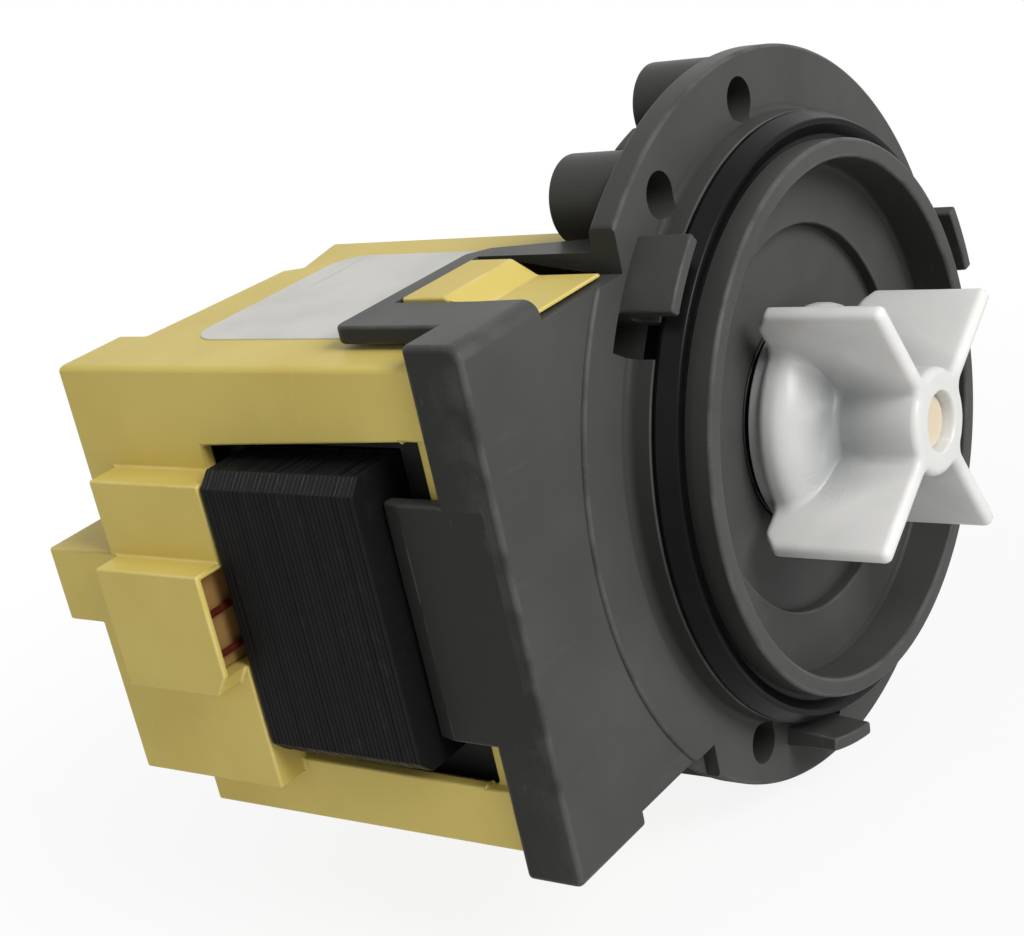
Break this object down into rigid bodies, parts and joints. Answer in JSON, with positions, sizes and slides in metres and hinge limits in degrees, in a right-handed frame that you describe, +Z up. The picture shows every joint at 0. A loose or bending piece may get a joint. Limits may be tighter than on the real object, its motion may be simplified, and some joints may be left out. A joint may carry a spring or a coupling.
{
  "type": "washing machine drain pump",
  "caption": "Drain pump with a grey flanged cup, a white bladed impeller on a lost-motion drive, and a yellow housing that holds a wound stator beside the pump axis.",
  "frame": {"origin": "pump axis at the front face of the flange, the centre of the screw circle", "axes": "+Y along the pump axis, away from the impeller; +Z up; the stator housing lies towards -X"},
  "size_m": [0.1185, 0.0919, 0.096],
  "materials": {
    "grey_plastic": "satin dark grey, glass filled, lightly scuffed",
    "black_rubber": "satin black",
    "holder_plastic": "black",
    "seal_rubber": "matt black",
    "bush_ceramic": "ground",
    "black_laminations": "black varnished sheet stack",
    "bobbin_plastic": "black",
    "copper_wire": "enamelled copper",
    "winding_tape": "amber tape",
    "yellow_plastic": "satin pale yellow",
    "tinned_brass": "tinned",
    "cutout_case": "black case",
    "strip_board": "tan board",
    "red_wire": "dark red enamel",
    "label_paper": "pale grey white",
    "steel": "ground",
    "sleeve_plastic": "dark",
    "ferrite": "ground ferrite",
    "washer_plastic": "natural",
    "white_plastic": "milky white, slightly translucent",
    "pale_plastic": "milky grey white",
    "cream_plastic": "cream"
  },
  "bodies": {
    "pump_body": {"front_moulding": "grey_plastic", "cup_gasket": "black_rubber", "bearing_holder": "holder_plastic", "holder_o_ring": "seal_rubber", "front_bush": "bush_ceramic", "rear_bush": "bush_ceramic", "rear_bush_mount": "seal_rubber", "core_yoke": "black_laminations", "upper_core_leg": "black_laminations", "lower_core_leg": "black_laminations", "upper_bobbin": "bobbin_plastic", "lower_bobbin": "bobbin_plastic", "upper_winding": "copper_wire", "lower_winding": "copper_wire", "upper_winding_tape": "winding_tape", "lower_winding_tape": "winding_tape", "stator_housing": "yellow_plastic", "terminal_tabs": "tinned_brass", "thermal_cutout": "cutout_case", "terminal_strip": "strip_board", "link_wires": "red_wire", "rating_label": "label_paper"},
    "rotor": {"rotor_shaft": "steel", "rotor_sleeve": "sleeve_plastic", "rotor_magnet": "ferrite", "front_thrust_washer": "washer_plastic", "rear_thrust_washer": "washer_plastic", "drive_dog": "sleeve_plastic"},
    "impeller_body": {"impeller": "white_plastic", "coupling_cap": "pale_plastic", "coupling_damper": "seal_rubber", "nose_plug": "cream_plastic"}
  },
  "joints": [
    {"name": "rotor_spin", "type": "hinge", "parent": "pump_body", "child": "rotor", "pos_m": [0, 0, 0], "axis": [0, 1, 0], "continuous": true},
    {"name": "impeller_free_turn", "type": "hinge", "parent": "rotor", "child": "impeller_body", "pos_m": [0, 0, 0], "axis": [0, 1, 0], "range_deg": [-108, 108]}
  ]
}
